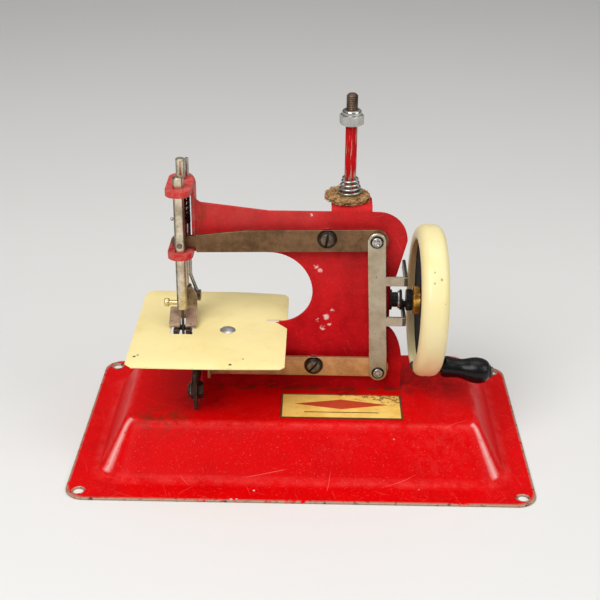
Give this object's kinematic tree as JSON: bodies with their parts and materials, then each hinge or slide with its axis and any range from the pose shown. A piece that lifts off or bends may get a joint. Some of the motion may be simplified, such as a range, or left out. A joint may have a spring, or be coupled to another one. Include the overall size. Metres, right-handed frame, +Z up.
{
  "type": "toy sewing machine",
  "caption": "Hand-cranked toy sewing machine: bent plate frame with needle lever, link and looper lever, sheet table, spool pin and hand wheel on a pressed sheet base with sloping sides.",
  "frame": {"origin": "middle of the base's footprint, on the floor", "axes": "+X towards the hand wheel along the machine, +Y towards the back, +Z up"},
  "size_m": [0.21, 0.127, 0.1652],
  "materials": {
    "base_red": "glossy red paint, worn at the edges",
    "frame_red": "red paint, worn at the edges",
    "cream_paint": "cream paint with small chips",
    "nickel": "aged nickel plate",
    "zinc": "zinc-plated steel",
    "bronze_steel": "tarnished plate, bronze brown",
    "foot_steel": "worn brown-grey plate",
    "dark_steel": "dark oxidised steel",
    "black_steel": "black steel",
    "brass": "dull brass",
    "black_wood": "black lacquered turned wood",
    "felt": "old felt"
  },
  "bodies": {
    "frame": {"base_pan": "base_red", "name_plate": "brass", "frame_plate": "frame_red", "foot_rivets": "dark_steel", "work_table": "cream_paint", "table_rivet": "zinc", "needle_lever_screw": "zinc", "lever_spacers": "zinc", "looper_lever_screw": "zinc", "lever_nuts": "zinc", "looper_bracket": "dark_steel", "bracket_rivets": "dark_steel", "looper_bolt": "zinc", "looper_nut": "zinc", "bearing_bush": "black_steel", "spool_pin": "frame_red", "spool_lower_nut": "zinc", "spool_lock_nut": "zinc", "tension_spring": "nickel", "felt_washer": "felt", "presser_spring": "dark_steel"},
    "wheel": {"crankshaft": "black_steel", "thrust_washer": "zinc", "shaft_clip": "zinc", "wheel_hub": "brass", "wheel_disc": "dark_steel", "wheel_nut": "zinc", "hand_wheel": "cream_paint", "knob_bolt": "zinc"},
    "knob": {"crank_knob": "black_wood"},
    "rocker": {"needle_lever": "bronze_steel", "yoke_top_rivet": "zinc"},
    "link": {"yoke_link": "nickel", "yoke_bottom_rivet": "zinc"},
    "lower_rocker": {"looper_lever": "bronze_steel", "looper_drive_pin": "zinc"},
    "needle_slider": {"needle_bar": "nickel", "needle": "nickel", "needle_clamp_screw": "brass", "needle_bar_pin": "zinc"},
    "presser": {"presser_bar": "nickel", "presser_foot": "foot_steel", "presser_collar": "dark_steel", "presser_lift_pin": "nickel", "presser_guide_wire": "nickel"},
    "hook": {"looper": "nickel"},
    "feed": {"feed_lever": "dark_steel"}
  },
  "joints": [
    {"name": "hand_wheel_spin", "type": "hinge", "parent": "frame", "child": "wheel", "pos_m": [0.057, 0.0055, 0.0675], "axis": [1, 0, 0], "continuous": true},
    {"name": "knob_spin", "type": "hinge", "parent": "wheel", "child": "knob", "pos_m": [0.0637, -0.00887, 0.04048], "axis": [0.9945, -0.0491, -0.0923], "continuous": true},
    {"name": "needle_lever_swing", "type": "hinge", "parent": "frame", "child": "rocker", "pos_m": [0.0103, -0.0034, 0.1016], "axis": [0, 1, 0], "range_deg": [0, 12.8]},
    {"name": "yoke_swing", "type": "hinge", "parent": "rocker", "child": "link", "pos_m": [0.0326, -0.005, 0.101], "axis": [0, 1, 0], "range_deg": [-12.8, 0]},
    {"name": "looper_lever_swing", "type": "hinge", "parent": "frame", "child": "lower_rocker", "pos_m": [0.005, -0.0034, 0.0372], "axis": [0, 1, 0], "range_deg": [0, 9.6]},
    {"name": "needle_bar_slide", "type": "slide", "parent": "frame", "child": "needle_slider", "axis": [0, 0, 1], "range_m": [0, 0.015]},
    {"name": "looper_swing", "type": "hinge", "parent": "frame", "child": "hook", "pos_m": [-0.0505, -0.02, 0.032], "axis": [1, 0, 0], "range_deg": [0, 28.4]},
    {"name": "feed_swing", "type": "hinge", "parent": "frame", "child": "feed", "pos_m": [-0.0346, -0.0099, 0.0545], "axis": [0, 0, -1], "range_deg": [0, 6.1]},
    {"name": "presser_slide", "type": "slide", "parent": "frame", "child": "presser", "axis": [0, 0, 1], "range_m": [0, 0.004], "stiffness_N_per_m": 200, "springref_m": -0.003, "deforming": ["presser_spring"]}
  ],
  "couplings": [
    {"joint": "yoke_swing", "follows": "needle_lever_swing", "ratio": -0.987},
    {"joint": "looper_lever_swing", "follows": "needle_lever_swing", "ratio": 0.7385},
    {"joint": "needle_bar_slide", "follows": "needle_lever_swing", "m_per_rad": 0.0664},
    {"joint": "looper_swing", "follows": "needle_lever_swing", "ratio": 2.2},
    {"joint": "feed_swing", "follows": "needle_lever_swing", "ratio": 0.469}
  ]
}
